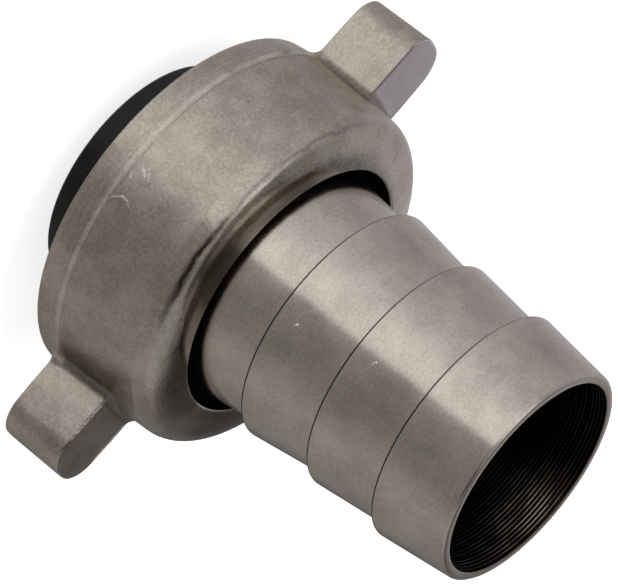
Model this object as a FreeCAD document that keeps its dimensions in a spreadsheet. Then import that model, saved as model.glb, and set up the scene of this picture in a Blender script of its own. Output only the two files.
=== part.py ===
"""Swivel hose barb fitting: a barbed hose tail, a loose union nut with two lugs, and a rubber cone seal.

Millimetres. The fitting stands on the seal's tip: +Z runs up the common axis to the open mouth of the
hose tail, the lugs of the nut lie along X, and Z = 0 is the tip of the seal.
"""
import FreeCAD, Part
import Sketcher
import math
import os

# The driving dimensions: name, value in millimetres (counts are plain numbers), what it is.
SIZES = [
    ("bore_radius", 13.7, "waterway through the hose tail"),
    ("tail_wall", 1.3, "wall of the hose tail at its mouth and at the foot of every barb"),
    ("nose_wall", 1.5, "wall of the nose that carries the seal"),
    ("flange_thickness", 3.0, "flange that the nut pulls on, along the axis"),
    ("flange_overlap", 1.27, "how far the flange reaches past the hole in the nut"),
    ("neck_length", 11.6, "from the flange to the step of the first barb"),
    ("neck_clearance", 1.13, "between the neck's wide end and the hole in the nut, which turns round it"),
    ("first_barb_rise", 1.55, "crest of the barb next to the nut, above its foot"),
    ("barb_rise", 1.25, "crest of the other barbs, above their foot"),
    ("barb_count", 3, "number of barbs"),
    ("barb_pitch", 10.65, "from one barb's step to the next"),
    ("end_taper", 10.4, "from the last barb's step to the mouth"),
    ("mouth_chamfer", 0.35, "bevel on the mouth's outer edge"),
    ("nut_length", 19.3, "whole length of the nut"),
    ("back_wall", 3.65, "nut's back wall, from its inner shoulder to its top"),
    ("seat_clearance", 0.25, "between the flange and the nut's inner shoulder"),
    ("pass_clearance", 1.18, "between the largest barb and the hole in the nut, which passes over it"),
    ("hole_chamfer", 0.3, "bevel on the hole's outer edge"),
    ("thread_clearance", 1.955, "from the flange out to the root of the thread, size one and a quarter"),
    ("thread_lead_in", 0.7, "bevel at the start of the thread"),
    ("nut_wall", 4.095, "nut's wall outside the thread, where the band ends"),
    ("rim_taper", 0.45, "how much the band narrows towards the rim, in radius"),
    ("rim_chamfer", 0.35, "bevel on the rim's outer edge"),
    ("band_height", 4.1, "height of the band beside the rim"),
    ("body_draft", 0.81, "how much the body narrows from the band to its shoulder, in radius"),
    ("shoulder_drop", 3.45, "from the nut's top down to where its shoulder begins to turn"),
    ("shoulder_round", 2.8, "turn of the shoulder"),
    ("dome_radius", 14.0, "curve of the back face, from the shoulder to the hole"),
    ("lug_rise", 2.85, "from the rim up to the lugs"),
    ("lug_height", 9.15, "lug, along the axis"),
    ("lug_length", 10.35, "how far a lug stands out from the band"),
    ("lug_root_width", 9.4, "lug's thickness where it leaves the body"),
    ("lug_tip_width", 8.6, "lug's thickness at its tip"),
    ("lug_tip_round", 2.9, "rounded corners of a lug's tip"),
    ("lug_sink", 0.4, "how deep in the body a lug's sides turn outwards into its foot"),
    ("lug_foot_flare", 3.0, "how far the foot spreads to either side, down into the nut's wall"),
    ("lug_foot_depth", 1.75, "how much deeper in the wall the foot ends"),
    ("lug_root_fillet", 1.9, "hollow between a lug's side and the body"),
    ("lug_edge_bevel", 0.45, "bevel along a lug's long edges"),
    ("seal_length", 19.7, "seal, from its tip to the flange"),
    ("seal_margin", 0.6, "how far the flange stands out past the seal"),
    ("seal_taper", 2.15, "how much the seal narrows from the flange to its tip, in radius"),
    ("seal_lip_relief", 0.4, "how much wider the seal's lip is than the waterway, in radius"),
    ("seal_lip_height", 4.0, "height of the lip that covers the nose's end"),
    ("seal_tip_chamfer", 0.45, "bevel on the tip's outer edge"),
]

# Places worked out from them: name, formula, what it is. Heights are measured from the seal's tip.
PLACES = [
    ("axis_radius", "=0", "the common axis"),
    ("ground_height", "=0", "tip of the seal"),
    ("neck_radius", "=bore_radius + tail_wall", "outside of the mouth, the neck's end and every barb's foot"),
    ("nose_radius", "=bore_radius + nose_wall", "outside of the nose and inside of the seal"),
    ("first_barb_radius", "=neck_radius + first_barb_rise", "crest of the first barb"),
    ("barb_radius", "=neck_radius + barb_rise", "crest of the other barbs"),
    ("hole_radius", "=first_barb_radius + pass_clearance", "hole in the nut's back wall"),
    ("neck_foot_radius", "=hole_radius - neck_clearance", "outside of the neck at the flange"),
    ("flange_radius", "=hole_radius + flange_overlap", "outside of the flange"),
    ("thread_root_radius", "=flange_radius + thread_clearance", "root of the nut's inside thread"),
    ("lead_in_radius", "=thread_root_radius + thread_lead_in", "start of the thread's bevel"),
    ("band_radius", "=thread_root_radius + nut_wall", "outside of the nut where the band ends"),
    ("rim_radius", "=band_radius - rim_taper", "outside of the nut at its open rim"),
    ("shoulder_radius", "=band_radius - body_draft", "outside of the nut where its shoulder begins"),
    ("seal_base_radius", "=flange_radius - seal_margin", "outside of the seal against the flange"),
    ("seal_tip_radius", "=seal_base_radius - seal_taper", "outside of the seal at its tip"),
    ("seal_lip_radius", "=bore_radius + seal_lip_relief", "inside of the seal's lip"),
    ("flange_height", "=seal_length", "underside of the flange"),
    ("flange_top", "=flange_height + flange_thickness", "top of the flange"),
    ("first_barb_height", "=flange_top + neck_length", "step of the first barb"),
    ("last_barb_height", "=first_barb_height + (barb_count - 1) * barb_pitch", "step of the last barb"),
    ("mouth_height", "=last_barb_height + end_taper", "mouth of the hose tail"),
    ("nut_seat_height", "=flange_top + seat_clearance", "inner shoulder of the nut"),
    ("nut_top", "=nut_seat_height + back_wall", "top of the nut"),
    ("rim_height", "=nut_top - nut_length", "open rim of the nut"),
    ("lead_in_top", "=rim_height + thread_lead_in", "end of the thread's bevel"),
    ("band_top", "=rim_height + band_height", "line where the band ends"),
    ("shoulder_height", "=nut_top - shoulder_drop", "where the shoulder begins to turn"),
    ("body_lean", "=atan(body_draft / (shoulder_height - band_top))", "lean of the body's side"),
    ("turn_radius", "=shoulder_radius - shoulder_round * cos(body_lean)", "centre of that turn, across"),
    ("turn_height", "=shoulder_height - shoulder_round * sin(body_lean)", "centre of that turn, up"),
    ("turn_to_hole", "=hypot(turn_radius - hole_radius; nut_top - turn_height)", "from there to the hole's edge"),
    ("dome_offset", "=dome_radius - shoulder_round", "from the turn's centre to the dome's centre"),
    ("hole_bearing", "=atan((nut_top - turn_height) / (turn_radius - hole_radius))",
     "direction to the hole's edge"),
    ("dome_bearing", "=acos((turn_to_hole ^ 2 + dome_offset ^ 2 - dome_radius ^ 2)"
     " / (2 * turn_to_hole * dome_offset)) - hole_bearing", "direction in which the turn meets the dome"),
    ("dome_start_radius", "=turn_radius + shoulder_round * cos(dome_bearing)", "dome's start, across"),
    ("dome_start_height", "=turn_height + shoulder_round * sin(dome_bearing)", "dome's start, up"),
    ("cutter_bottom", "=rim_height - 1", "start of the cutter that hollows the nut, clear of the rim"),
    ("cutter_top", "=nut_top + 1", "end of that cutter, clear of the top"),
    ("lug_bottom", "=rim_height + lug_rise", "underside of the lugs"),
    ("lug_reach", "=band_radius + lug_length", "from the axis to the tip of a lug"),
    ("lug_root_reach", "=band_radius - lug_sink", "from the axis to where a lug's sides turn outwards"),
    ("lug_foot_reach", "=lug_root_reach - lug_foot_depth", "from the axis to the end of a lug's foot"),
    ("lug_root_half", "=lug_root_width / 2", "half a lug's thickness at the body"),
    ("lug_tip_half", "=lug_tip_width / 2", "half a lug's thickness at its tip"),
    ("lug_foot_half", "=lug_root_half + lug_foot_flare", "half the width of a lug's foot"),
]

TOUCH = 1e-3      # how near a point must lie to count as being on an edge, in millimetres


def fill_sheet(doc):
    """Write every driving dimension and every place worked out from them into the sheet."""
    sheet = doc.addObject("Spreadsheet::Sheet", "Sizes")
    rows = [(name, str(value), note) for name, value, note in SIZES] + PLACES
    for row, (name, cell, note) in enumerate(rows, start=1):
        sheet.set(f"A{row}", name)
        sheet.set(f"B{row}", cell)
        sheet.set(f"C{row}", note)
        sheet.setAlias(f"B{row}", name)
    doc.recompute()
    return sheet


def make_body(doc, name):
    """A body whose label names the file that its shape is written to."""
    body = doc.addObject("PartDesign::Body", name)
    body.Label = name
    body.Placement = FreeCAD.Placement()
    return body


def origin_feature(body, role):
    """One of the body's own origin planes or axes, found by its role."""
    return next(item for item in body.Origin.OriginFeatures if item.Role == role)


def make_sketch(body, name, role):
    """An empty sketch on one of the body's own origin planes."""
    sketch = body.newObject("Sketcher::SketchObject", name)
    sketch.AttachmentSupport = [(origin_feature(body, role), "")]
    sketch.MapMode = "FlatFace"
    return sketch


def arc_between(start, end, radius):
    """An arc that runs anticlockwise from start to end."""
    chord = end - start
    half = chord.Length / 2
    to_left = FreeCAD.Vector(-chord.y, chord.x, 0).normalize()
    centre = (start + end) * 0.5 + to_left * math.sqrt(radius ** 2 - half ** 2)
    first = math.atan2(start.y - centre.y, start.x - centre.x)
    last = math.atan2(end.y - centre.y, end.x - centre.x)
    circle = Part.Circle(centre, FreeCAD.Vector(0, 0, 1), radius)
    return Part.ArcOfCircle(circle, first, last)


def draw_outline(sketch, sheet, corners, arcs=None):
    """Draw a closed outline, anticlockwise, with each corner held at two sizes from the sheet.

    A corner is a pair of names: its distance across and its distance up. A name that starts with a
    minus sign lies on the other side of the sketch's axis. arcs gives, for the number of the corner
    that a curved stretch starts from, the name of the curve's radius.
    """
    arcs = arcs or {}

    def value(name):
        size = float(sheet.get(name.lstrip("-")))
        return -size if name.startswith("-") else size

    points = [FreeCAD.Vector(value(across), value(up), 0) for across, up in corners]
    lines = []
    for number, start in enumerate(points):
        end = points[(number + 1) % len(points)]
        if number in arcs:
            lines.append(sketch.addGeometry(arc_between(start, end, value(arcs[number]))))
        else:
            lines.append(sketch.addGeometry(Part.LineSegment(start, end)))
    for number, line in enumerate(lines):
        following = lines[(number + 1) % len(lines)]
        sketch.addConstraint(Sketcher.Constraint("Coincident", line, 2, following, 1))
    for number, (line, corner, point) in enumerate(zip(lines, corners, points)):
        for kind, name, distance in (("DistanceX", corner[0], point.x), ("DistanceY", corner[1], point.y)):
            label = f"{kind}{number}"
            index = sketch.addConstraint(Sketcher.Constraint(kind, -1, 1, line, 1, distance))
            sketch.renameConstraint(index, label)
            sign = "-" if name.startswith("-") else ""
            sketch.setExpression(f"Constraints.{label}", f"{sign}Sizes.{name.lstrip('-')}")
    for number, name in arcs.items():
        index = sketch.addConstraint(Sketcher.Constraint("Radius", lines[number], value(name)))
        sketch.renameConstraint(index, f"Curve{number}")
        sketch.setExpression(f"Constraints.Curve{number}", f"Sizes.{name}")


def turn(body, sketch, name, kind="PartDesign::Revolution"):
    """Turn a sketch one full turn round the upright axis, to add material or to cut it away."""
    feature = body.newObject(kind, name)
    feature.Profile = sketch
    feature.ReferenceAxis = (sketch, ["V_Axis"])
    feature.Angle = 360
    body.Document.recompute()
    return feature


def pick_edges(feature, wanted):
    """The names of the feature's edges that the test accepts."""
    edges = feature.Shape.Edges
    return [f"Edge{number}" for number, edge in enumerate(edges, start=1) if wanted(edge)]


def on_ring(radius, height):
    """A test for edges that are a full ring of this radius, round the axis at this height."""
    def wanted(edge):
        box = edge.BoundBox
        flat = abs(box.ZMin - height) < TOUCH and abs(box.ZMax - height) < TOUCH
        return flat and abs(box.XMax - radius) < TOUCH and abs(box.YMax - radius) < TOUCH
    return wanted


def dress(body, base, edges, name, size):
    """Bevel or round the named edges of the feature before, as the name of the size says."""
    bevelled = size.endswith(("chamfer", "bevel"))
    feature = body.newObject("PartDesign::Chamfer" if bevelled else "PartDesign::Fillet", name)
    feature.Base = (base, edges)
    feature.setExpression("Size" if bevelled else "Radius", f"Sizes.{size}")
    body.Document.recompute()
    return feature


def make_hose_tail(doc, sheet):
    """The hose tail, turned from one bar: nose, flange, neck, barbs, mouth and a straight bore."""
    body = make_body(doc, "hose_tail")
    sketch = make_sketch(body, "hose_tail_profile", "XZ_Plane")
    corners = [
        ("bore_radius", "seal_lip_height"),
        ("nose_radius", "seal_lip_height"),
        ("nose_radius", "flange_height"),
        ("flange_radius", "flange_height"),
        ("flange_radius", "flange_top"),
        ("neck_foot_radius", "flange_top"),
    ]
    first_row = len(SIZES) + len(PLACES) + 1
    for number in range(int(sheet.get("barb_count"))):
        height = f"barb_{number + 1}_height"
        sheet.set(f"A{first_row + number}", height)
        sheet.set(f"B{first_row + number}", f"=first_barb_height + {number} * barb_pitch")
        sheet.setAlias(f"B{first_row + number}", height)
        doc.recompute()
        crest = "first_barb_radius" if number == 0 else "barb_radius"
        corners += [("neck_radius", height), (crest, height)]
    corners += [("neck_radius", "mouth_height"), ("bore_radius", "mouth_height")]
    draw_outline(sketch, sheet, corners)
    turned = turn(body, sketch, "hose_tail_turned")

    outer = pick_edges(turned, on_ring(sheet.get("neck_radius"), sheet.get("mouth_height")))
    dress(body, turned, outer, "mouth_bevel", "mouth_chamfer")
    return body


def upright_at(reach):
    """A test for upright edges at this distance from the axis, measured along the lugs."""
    def wanted(edge):
        box = edge.BoundBox
        upright = box.ZLength > TOUCH and box.XLength < TOUCH and box.YLength < TOUCH
        return upright and abs(abs(box.Center.x) - reach) < TOUCH
    return wanted


def make_lugs(body, sheet):
    """Both lugs as one bar right across the nut, whose middle the nut's body and its bore take up."""
    sketch = make_sketch(body, "lug_outline", "XY_Plane")
    sketch.setExpression("AttachmentOffset.Base.z", "Sizes.lug_bottom")
    right_side = [
        ("lug_foot_reach", "-lug_foot_half"),
        ("lug_root_reach", "-lug_root_half"),
        ("lug_reach", "-lug_tip_half"),
        ("lug_reach", "lug_tip_half"),
        ("lug_root_reach", "lug_root_half"),
        ("lug_foot_reach", "lug_foot_half"),
    ]
    left_side = [(f"-{across}", up) for across, up in reversed(right_side)]
    draw_outline(sketch, sheet, right_side + left_side)
    bar = body.newObject("PartDesign::Pad", "lug_bar")
    bar.Profile = sketch
    bar.setExpression("Length", "Sizes.lug_height")
    body.Document.recompute()

    corners = pick_edges(bar, upright_at(sheet.get("lug_reach")))
    tips = dress(body, bar, corners, "lug_tips", "lug_tip_round")
    creases = pick_edges(tips, upright_at(sheet.get("lug_root_reach")))
    roots = dress(body, tips, creases, "lug_roots", "lug_root_fillet")
    foot = sheet.get("lug_foot_reach")
    rims = pick_edges(
        roots, lambda edge: edge.BoundBox.ZLength < TOUCH and abs(edge.BoundBox.Center.x) > foot)
    dress(body, roots, rims, "lug_edges", "lug_edge_bevel")


def make_wing_nut(doc, sheet):
    """The union nut: a round cast body with two lugs, hollowed for its thread and for the neck."""
    body = make_body(doc, "wing_nut")
    make_lugs(body, sheet)
    outside = make_sketch(body, "nut_outside", "XZ_Plane")
    corners = [
        ("axis_radius", "rim_height"),
        ("rim_radius", "rim_height"),
        ("band_radius", "band_top"),
        ("shoulder_radius", "shoulder_height"),
        ("dome_start_radius", "dome_start_height"),
        ("hole_radius", "nut_top"),
        ("axis_radius", "nut_top"),
    ]
    draw_outline(outside, sheet, corners, arcs={3: "shoulder_round", 4: "dome_radius"})
    turn(body, outside, "nut_body")

    inside = make_sketch(body, "nut_inside", "XZ_Plane")
    draw_outline(inside, sheet, [
        ("axis_radius", "cutter_bottom"),
        ("lead_in_radius", "cutter_bottom"),
        ("lead_in_radius", "rim_height"),
        ("thread_root_radius", "lead_in_top"),
        ("thread_root_radius", "nut_seat_height"),
        ("hole_radius", "nut_seat_height"),
        ("hole_radius", "cutter_top"),
        ("axis_radius", "cutter_top"),
    ])
    hollow = turn(body, inside, "nut_hollow", "PartDesign::Groove")
    rim = pick_edges(hollow, on_ring(sheet.get("rim_radius"), sheet.get("rim_height")))
    rimmed = dress(body, hollow, rim, "rim_bevel", "rim_chamfer")
    hole = pick_edges(rimmed, on_ring(sheet.get("hole_radius"), sheet.get("nut_top")))
    dress(body, rimmed, hole, "hole_bevel", "hole_chamfer")
    return body


def make_cone_seal(doc, sheet):
    """The rubber seal: a tapered sleeve on the nose, with a lip that covers the nose's end."""
    body = make_body(doc, "cone_seal")
    sketch = make_sketch(body, "cone_seal_profile", "XZ_Plane")
    draw_outline(sketch, sheet, [
        ("seal_lip_radius", "ground_height"),
        ("seal_tip_radius", "ground_height"),
        ("seal_base_radius", "flange_height"),
        ("nose_radius", "flange_height"),
        ("nose_radius", "seal_lip_height"),
        ("seal_lip_radius", "seal_lip_height"),
    ])
    sleeve = turn(body, sketch, "cone_seal_moulded")
    tip = pick_edges(sleeve, on_ring(sheet.get("seal_tip_radius"), sheet.get("ground_height")))
    dress(body, sleeve, tip, "cone_seal_tip", "seal_tip_chamfer")
    return body


def write_parts(doc, bodies):
    """Check every object and every finished shape, then write one file for each body."""
    doc.recompute()
    failed = [item.Name for item in doc.Objects if "Invalid" in item.State or "Error" in item.State]
    if failed:
        raise RuntimeError(f"these objects failed: {failed}")
    for body in bodies:
        if body.Shape.isNull() or not body.Shape.isValid() or len(body.Shape.Solids) != 1:
            raise RuntimeError(f"{body.Label} is not one valid solid")
    os.makedirs("parts", exist_ok=True)
    for body in bodies:
        body.Shape.exportStep(f"parts/{body.Label}.step")
        print(body.Label, "volume", round(body.Shape.Volume, 1), "mm3", len(body.Shape.Faces), "faces")


def main():
    """Build the three pieces and write them."""
    doc = FreeCAD.newDocument("swivel_hose_barb_fitting")
    sheet = fill_sheet(doc)
    bodies = [make_hose_tail(doc, sheet), make_wing_nut(doc, sheet), make_cone_seal(doc, sheet)]
    write_parts(doc, bodies)


main()
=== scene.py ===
"""Looks of the swivel hose barb fitting: turned hose tail, cast union nut and rubber seal.

Metres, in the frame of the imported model: the fitting stands on the seal's tip, +Z runs up the
common axis to the open mouth of the hose tail, and the lugs of the nut lie along X.
"""
from __future__ import annotations

import logging
import math
from collections.abc import Sequence
from dataclasses import dataclass
from enum import Enum
from typing import Any

import bmesh
import bpy
import numpy as np
from mathutils import Matrix, Vector

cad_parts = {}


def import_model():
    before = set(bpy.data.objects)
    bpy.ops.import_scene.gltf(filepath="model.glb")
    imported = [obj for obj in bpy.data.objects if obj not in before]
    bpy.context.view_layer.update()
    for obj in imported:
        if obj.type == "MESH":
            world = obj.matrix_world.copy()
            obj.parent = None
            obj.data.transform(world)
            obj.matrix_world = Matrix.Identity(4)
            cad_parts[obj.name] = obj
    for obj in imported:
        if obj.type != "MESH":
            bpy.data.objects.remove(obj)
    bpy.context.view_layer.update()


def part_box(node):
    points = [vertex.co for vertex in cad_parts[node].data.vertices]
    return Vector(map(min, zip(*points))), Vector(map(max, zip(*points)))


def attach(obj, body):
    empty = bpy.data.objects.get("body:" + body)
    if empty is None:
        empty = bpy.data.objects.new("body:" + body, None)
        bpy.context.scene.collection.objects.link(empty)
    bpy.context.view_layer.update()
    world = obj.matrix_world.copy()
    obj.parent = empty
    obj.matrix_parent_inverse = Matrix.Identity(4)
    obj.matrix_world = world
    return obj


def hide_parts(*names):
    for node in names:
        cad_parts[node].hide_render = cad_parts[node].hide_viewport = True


Colour = tuple[float, float, float]
Place = tuple[float, float, float]
Key = int | str

MM = 0.001
SHARP_ANGLE = math.radians(35)
SMALL_ROUND = 0.6 * MM
SMALL_ROUND_STEPS, LARGE_ROUND_STEPS = 5, 14
LUG_TURN_STEPS, LUG_STRAIGHT_ROWS = 12, 9
LUG_CORNER_STEPS, LUG_FLAT_STEPS = 6, 12
BAND_STEPS, SHOULDER_STEPS, DOME_STEPS = 12, 18, 12
WALL_SLACK = 0.05 * MM

log = logging.getLogger("fitting")


class Body(Enum):
    """The bodies of the frame that the pieces ride on."""

    TAIL = "tail"
    NUT = "nut"


class Slot(Enum):
    """The record's material slots."""

    TURNED = "turned_metal"
    CAST = "cast_metal"
    RUBBER = "seal_rubber"


class Skin(Enum):
    """Which of a piece's finishes a face wears."""

    OUTSIDE = 0
    INSIDE = 1
    SHADED = 2


# Node trees


class Wire:
    """An output of a node, on which Python's operators add Math nodes."""

    def __init__(self, graph: Graph, socket: bpy.types.NodeSocket | None) -> None:
        """Hold the socket and the graph that it is in."""
        self.graph = graph
        self.socket = socket

    def __add__(self, other: Value) -> Wire:
        """The sum."""
        return self.graph.math("ADD", self, other)

    def __radd__(self, other: Value) -> Wire:
        """The sum, from the right."""
        return self.graph.math("ADD", other, self)

    def __sub__(self, other: Value) -> Wire:
        """The difference."""
        return self.graph.math("SUBTRACT", self, other)

    def __rsub__(self, other: Value) -> Wire:
        """The difference, from the right."""
        return self.graph.math("SUBTRACT", other, self)

    def __mul__(self, other: Value) -> Wire:
        """The product."""
        return self.graph.math("MULTIPLY", self, other)

    def __rmul__(self, other: Value) -> Wire:
        """The product, from the right."""
        return self.graph.math("MULTIPLY", other, self)

    def __truediv__(self, other: Value) -> Wire:
        """The quotient."""
        return self.graph.math("DIVIDE", self, other)

    def at_most(self, other: Value) -> Wire:
        """The lesser of the two."""
        return self.graph.math("MINIMUM", self, other)

    def at_least(self, other: Value) -> Wire:
        """The greater of the two."""
        return self.graph.math("MAXIMUM", self, other)

    def output(self, name: str) -> Wire:
        """Another output of the same node."""
        return Wire(self.graph, find_socket(self.socket.node.outputs, name))


Value = Wire | float
Paint = Wire | Colour
Arrow = Wire | Sequence[float]


def find_socket(sockets: bpy.types.bpy_prop_collection, key: Key) -> bpy.types.NodeSocket:
    """Find a socket by its number, its identifier or its name.

    Args:
        sockets: a node's inputs or outputs.
        key: the number, identifier or name.

    Returns:
        The first socket that matches.
    """
    if isinstance(key, int):
        return sockets[key]
    matches = [s for s in sockets if s.identifier == key] or [s for s in sockets if s.name == key]
    return matches[0]


class Graph:
    """A node tree that is built by expressions."""

    def __init__(self, tree: bpy.types.NodeTree) -> None:
        """Start on an empty tree."""
        self.tree = tree
        tree.nodes.clear()

    def node(self, kind: str, settings: dict[str, Any] | None = None,
             sockets: dict[Key, Any] | None = None, output: Key = 0) -> Wire:
        """Add a node.

        Args:
            kind: the node's type.
            settings: its own settings, with a ramp's stops as pairs of position and colour.
            sockets: a value or a wire for each input that isn't left as it is.
            output: the output that is wanted.

        Returns:
            That output, or a wire without a socket where the node has none.
        """
        made = self.tree.nodes.new(kind)
        for name, value in (settings or {}).items():
            if name == "stops":
                fill_ramp(made.color_ramp, value)
            else:
                setattr(made, name, value)
        for key, value in (sockets or {}).items():
            socket = find_socket(made.inputs, key)
            if isinstance(value, Wire):
                self.tree.links.new(value.socket, socket)
            else:
                socket.default_value = value
        return Wire(self, find_socket(made.outputs, output) if len(made.outputs) else None)

    def math(self, operation: str, first: Value, second: Value = 0.0) -> Wire:
        """Add a Math node on one or two values."""
        return self.node("ShaderNodeMath", {"operation": operation}, {0: first, 1: second})

    def vector(self, operation: str, first: Arrow, second: Arrow = (0.0, 0.0, 0.0)) -> Wire:
        """Add a Vector Math node on one or two vectors."""
        return self.node("ShaderNodeVectorMath", {"operation": operation}, {0: first, 1: second})

    def blend(self, factor: Value, first: Paint, second: Paint) -> Wire:
        """Mix two colours.

        Args:
            factor: 0 for the first colour and 1 for the second.
            first: the first colour.
            second: the second colour.

        Returns:
            The mixed colour.
        """
        pair = (first, second)
        one, other = (paint if isinstance(paint, Wire) else (*paint, 1.0) for paint in pair)
        sockets = {"Factor_Float": factor, "A_Color": one, "B_Color": other}
        return self.node("ShaderNodeMix", {"data_type": "RGBA"}, sockets, "Result_Color")

    def noise(self, point: Wire, scale: float, detail: float = 2.0, roughness: float = 0.5) -> Wire:
        """A cloudy value between 0 and 1."""
        sockets = {"Vector": point, "Scale": scale, "Detail": detail, "Roughness": roughness}
        return self.node("ShaderNodeTexNoise", None, sockets)

    def span(self, value: Wire, first: float, last: float) -> Wire:
        """Go softly from 0 at the first limit to 1 at the last, which may be the lower one."""
        sockets = {"Value": value, "From Min": first, "From Max": last}
        return self.node("ShaderNodeMapRange", {"interpolation_type": "SMOOTHSTEP"}, sockets)

    def fade(self, value: Wire, low: float, high: float) -> Wire:
        """1 below the low value and 0 above the high one, with a soft step between them."""
        return self.span(value, high, low)

    def window(self, *spans: tuple[Wire, float, float]) -> Value:
        """Multiply several spans.

        Args:
            spans: each value with its first and last limit, in millimetres.

        Returns:
            A value that is 1 where every value is past its last limit.
        """
        total: Value = 1.0
        for value, first, last in spans:
            total = total * self.span(value, first * MM, last * MM)
        return total

    def place(self, **sides: Value) -> Wire:
        """Make a vector of its X, Y and Z, with 0 for those that aren't given."""
        return self.node("ShaderNodeCombineXYZ", None, sides)

    def stripe(self, value: Wire, middle: float, inner: float, outer: float) -> Wire:
        """1 within the inner distance of the middle and 0 past the outer one."""
        return self.fade(self.math("ABSOLUTE", value - middle), inner, outer)


def fill_ramp(ramp: bpy.types.ColorRamp, stops: Sequence[tuple[float, Colour]]) -> None:
    """Give a ramp its stops.

    Args:
        ramp: the ramp.
        stops: the position and colour of each stop, in order from 0 to 1.
    """
    while len(ramp.elements) < len(stops):
        ramp.elements.new(1.0)
    for element, (position, colour) in zip(ramp.elements, stops):
        element.position = position
        element.color = (*colour, 1.0)


def grey(level: float) -> Colour:
    """A colour with no tint."""
    return (level, level, level)


# Finishes


class Surface:
    """A new material, and the place on its piece that the finish is worked out from."""

    def __init__(self, name: str) -> None:
        """Start the material on an empty tree.

        Args:
            name: the material's name.
        """
        self.material, self.graph = new_material(name)
        self.point = self.graph.node("ShaderNodeTexCoord", output="Object")
        parts = self.graph.node("ShaderNodeSeparateXYZ", None, {"Vector": self.point})
        self.x, self.y, self.z = (parts.output(axis) for axis in "XYZ")

    @property
    def radius(self) -> Wire:
        """Distance from the common axis."""
        flat = self.graph.vector("MULTIPLY", self.point, (1.0, 1.0, 0.0))
        return self.graph.vector("LENGTH", flat).output("Value")

    def noise(self, scale: float, detail: float = 2.0, roughness: float = 0.5) -> Wire:
        """A cloudy value between 0 and 1."""
        return self.graph.noise(self.point, scale, detail, roughness)

    def rings(self, width: float) -> Wire:
        """Fine rings of this width round the axis, as a value between 0 and 1."""
        drawn_out = self.graph.vector("MULTIPLY", self.point, (0.02, 0.02, 1.0))
        return self.graph.noise(drawn_out, 1 / width)

    def relief(self, height: Wire, depth: float, below: Wire | None = None) -> Wire:
        """Raise the surface a little.

        Args:
            height: the pattern, from 0 to 1.
            depth: its height in metres.
            below: the normal of a coarser relief under it.

        Returns:
            The normal.
        """
        sockets = {"Height": height, "Distance": depth}
        if below is not None:
            sockets["Normal"] = below
        return self.graph.node("ShaderNodeBump", None, sockets)

    def finish(self, colour: Wire, roughness: Wire, normal: Wire,
               **others: Value) -> bpy.types.Material:
        """End in a shader.

        Args:
            colour: the base colour, which is also that of a metal's reflections.
            roughness: the roughness.
            normal: the normal.
            others: values for the shader's other sockets, with _ for a space.

        Returns:
            The material.
        """
        sockets = {"Base Color": colour, "Roughness": roughness, "Normal": normal}
        sockets |= {name.replace("_", " "): value for name, value in others.items()}
        shader = self.graph.node("ShaderNodeBsdfPrincipled", None, sockets)
        self.graph.node("ShaderNodeOutputMaterial", None, {"Surface": shader})
        return self.material


@dataclass(frozen=True)
class Scratch:
    """A short mark in the metal, from one point to another."""

    start: Place
    end: Place
    width: float

    def mask(self, graph: Graph, point: Wire) -> Wire:
        """Find the mark.

        Args:
            graph: the material's nodes.
            point: the place on the object.

        Returns:
            A value that is 1 in the mark and 0 elsewhere.
        """
        line = Vector(self.end) - Vector(self.start)
        offset = graph.vector("SUBTRACT", point, self.start)
        along = graph.vector("DOT_PRODUCT", offset, tuple(line / line.length_squared))
        share = along.output("Value").at_least(0.0).at_most(1.0)
        foot = graph.node("ShaderNodeVectorMath", {"operation": "SCALE"},
                          {0: tuple(line), "Scale": share})
        away = graph.vector("DISTANCE", offset, foot).output("Value")
        return graph.fade(away, 0.35 * self.width, self.width)


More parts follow.
